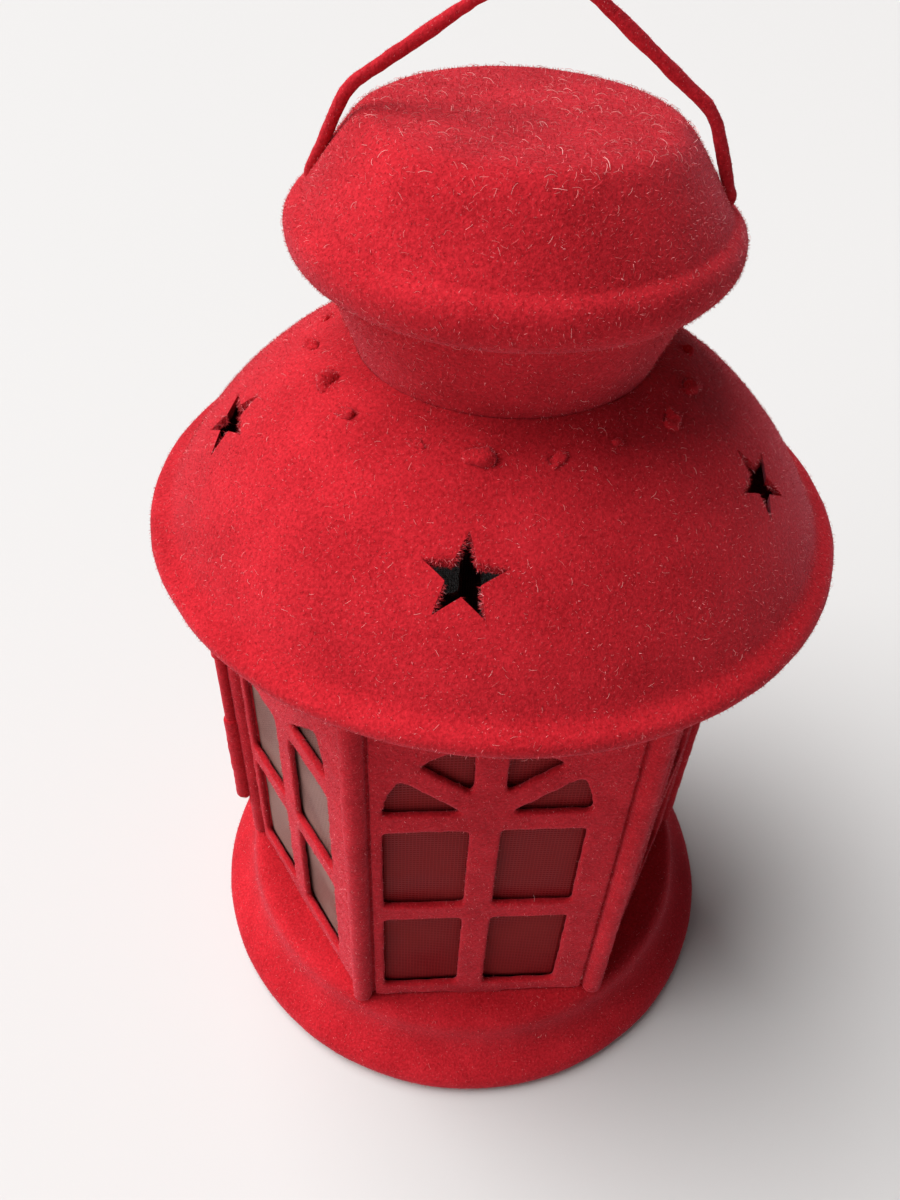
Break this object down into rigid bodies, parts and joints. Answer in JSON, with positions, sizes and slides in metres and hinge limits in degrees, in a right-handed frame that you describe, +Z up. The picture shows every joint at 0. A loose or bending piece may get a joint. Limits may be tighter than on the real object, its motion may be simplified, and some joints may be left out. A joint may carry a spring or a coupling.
{
  "type": "tealight lantern",
  "caption": "Flocked sheet-metal tealight lantern with a round base, hexagonal windowed body, hinged door, star-pierced domed roof, neck, cap and swinging wire handle.",
  "frame": {"origin": "centre of the base's underside, on the surface that the lantern stands on", "axes": "+Z up through the roof and cap, -Y out through the front window, hinged door at the back left"},
  "size_m": [0.122, 0.122, 0.2078],
  "materials": {
    "red_flock": "matt red flocked coat",
    "window_film": "thin translucent film with a fine woven grid",
    "bare_steel": "plain tinned steel"
  },
  "bodies": {
    "lantern": {"base_pan": "red_flock", "candle_cup": "bare_steel", "cup_rivets": "bare_steel", "corner_post_front_right": "red_flock", "corner_post_right": "red_flock", "corner_post_back_right": "red_flock", "corner_post_back_left": "red_flock", "corner_post_left": "red_flock", "corner_post_front_left": "red_flock", "window_front": "red_flock", "film_front": "window_film", "window_front_right": "red_flock", "film_front_right": "window_film", "window_back_right": "red_flock", "film_back_right": "window_film", "window_back": "red_flock", "film_back": "window_film", "window_front_left": "red_flock", "film_front_left": "window_film", "frame_hinge_knuckles": "red_flock", "hinge_pin": "bare_steel", "door_lintel": "red_flock", "button_stud": "red_flock", "top_plate": "red_flock", "roof": "red_flock", "neck": "red_flock", "cap": "red_flock"},
    "door": {"door_panel": "red_flock", "film_door": "window_film", "door_hinge_leaf": "red_flock", "door_leaf_rivets": "red_flock"},
    "button": {"turn_button": "red_flock"},
    "bail": {"handle_bail": "red_flock"}
  },
  "joints": [
    {"name": "bail_swing", "type": "hinge", "parent": "lantern", "child": "bail", "pos_m": [0, 0, 0.17772], "axis": [0.9938, -0.1115, 0], "range_deg": [-52, 36]},
    {"name": "door_hinge", "type": "hinge", "parent": "lantern", "child": "door", "pos_m": [-0.0547, 0, 0.07], "axis": [0, 0, 1], "range_deg": [0, 165]},
    {"name": "button_swivel", "type": "hinge", "parent": "lantern", "child": "button", "pos_m": [-0.02772, 0.04577, 0.073], "axis": [-0.866, 0.5, 0], "range_deg": [0, 90]}
  ]
}
